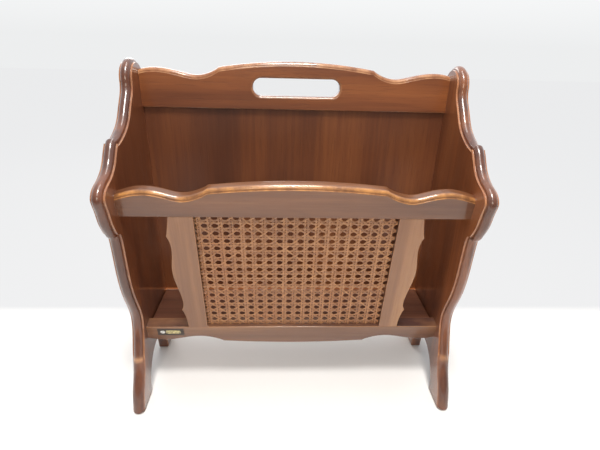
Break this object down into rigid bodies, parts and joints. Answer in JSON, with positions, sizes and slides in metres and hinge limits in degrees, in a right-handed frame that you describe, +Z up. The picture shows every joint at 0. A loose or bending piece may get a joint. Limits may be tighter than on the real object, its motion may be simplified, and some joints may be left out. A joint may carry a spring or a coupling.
{
  "type": "magazine rack",
  "caption": "Wooden magazine rack with curved side panels, a crowned back rail with a hand hold, and a leaning front frame filled with woven cane.",
  "frame": {"origin": "on the floor under the middle of the outer box", "axes": "+X to the rack's right seen from the front, -Y towards the front, +Z up"},
  "size_m": [0.438, 0.1839, 0.446],
  "materials": {
    "stained_wood": "red-brown stain under gloss lacquer",
    "stained_ply": "dark stained plywood, satin lacquer",
    "cane": "split cane, satin",
    "dowel_wood": "bare beech",
    "screw_steel": "zinc plated",
    "glide_plastic": "dark nylon",
    "label_foil": "plain metallic foil"
  },
  "bodies": {
    "root": {"back_bottom_rail": "stained_wood", "back_bottom_rail_dowels": "dowel_wood", "back_panel": "stained_ply", "blank_label": "label_foil", "board_screws": "screw_steel", "bottom_board": "stained_ply", "bottom_cleat_left": "stained_wood", "bottom_cleat_right": "stained_wood", "cane_bead_bottom": "stained_wood", "cane_bead_left": "stained_wood", "cane_bead_right": "stained_wood", "cane_bead_top": "stained_wood", "cane_panel": "cane", "cleat_screws": "screw_steel", "foot_glides": "glide_plastic", "front_bottom_rail": "stained_wood", "front_bottom_rail_dowels": "dowel_wood", "front_stile_left": "stained_wood", "front_stile_right": "stained_wood", "front_top_rail": "stained_wood", "front_top_rail_dowels": "dowel_wood", "handle_rail": "stained_wood", "handle_rail_dowels": "dowel_wood", "side_panel_left": "stained_wood", "side_panel_right": "stained_wood", "stile_dowels": "dowel_wood"}
  },
  "joints": []
}
